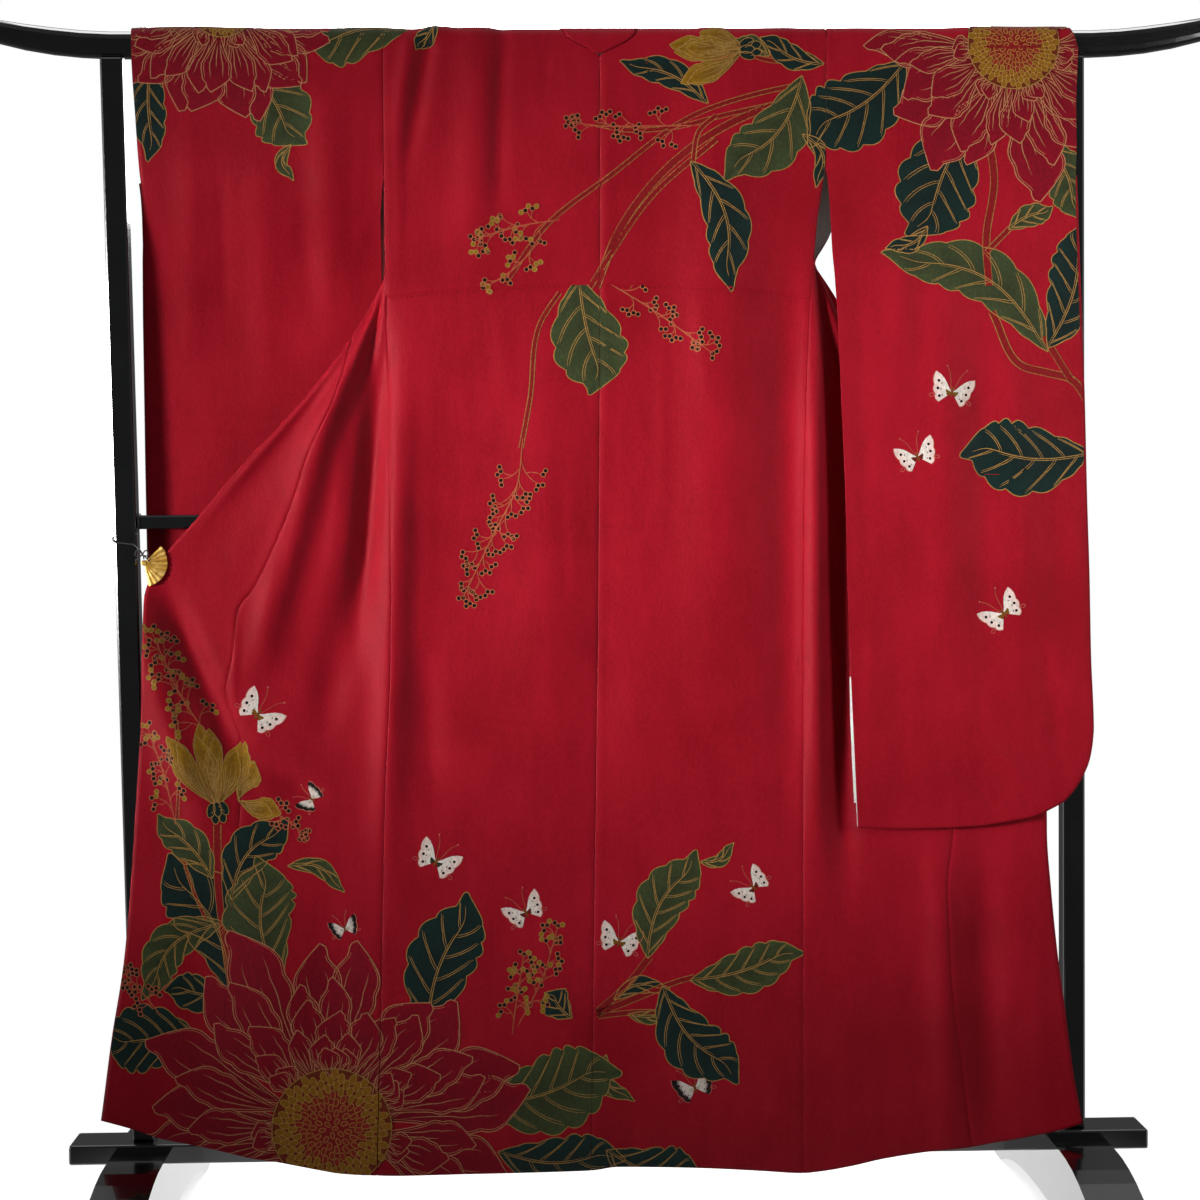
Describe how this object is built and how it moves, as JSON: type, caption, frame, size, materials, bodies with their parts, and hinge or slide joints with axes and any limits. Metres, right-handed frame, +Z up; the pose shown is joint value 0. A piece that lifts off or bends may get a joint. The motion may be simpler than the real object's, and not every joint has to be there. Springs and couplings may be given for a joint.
{
  "type": "furisode on a kimono rack",
  "caption": "Long-sleeved silk robe draped over a low lacquered rack, back outwards, its fronts drawn out sideways and held by a fan clip on each post.",
  "frame": {"origin": "centre of the bounding box's foot, on the floor under the rack", "axes": "+X along the rack to the viewer's right as the back is seen, +Y away from the viewer towards the fronts, +Z up"},
  "size_m": [1.78, 0.72, 1.7461],
  "materials": {
    "silk": "matt crepe silk",
    "lining_silk": "smooth pale silk",
    "lacquer": "glossy black lacquer",
    "gilt": "satin gilt",
    "cord": "matt black cord"
  },
  "bodies": {
    "root": {"body_left": "silk", "body_right": "silk", "gore_left": "silk", "gore_right": "silk", "sleeve_left": "silk", "sleeve_right": "silk", "collar": "silk", "sleeve_lining_right": "lining_silk", "top_rail": "lacquer", "post_left": "lacquer", "post_right": "lacquer", "mid_rail": "lacquer", "base_rail": "lacquer", "foot_left": "lacquer", "foot_right": "lacquer", "clip_fan_left": "gilt", "clip_fan_right": "gilt", "clip_back_left": "gilt", "clip_back_right": "gilt", "clip_knob_left": "gilt", "clip_knob_right": "gilt", "clip_cord_left": "cord", "clip_cord_right": "cord"}
  },
  "joints": []
}
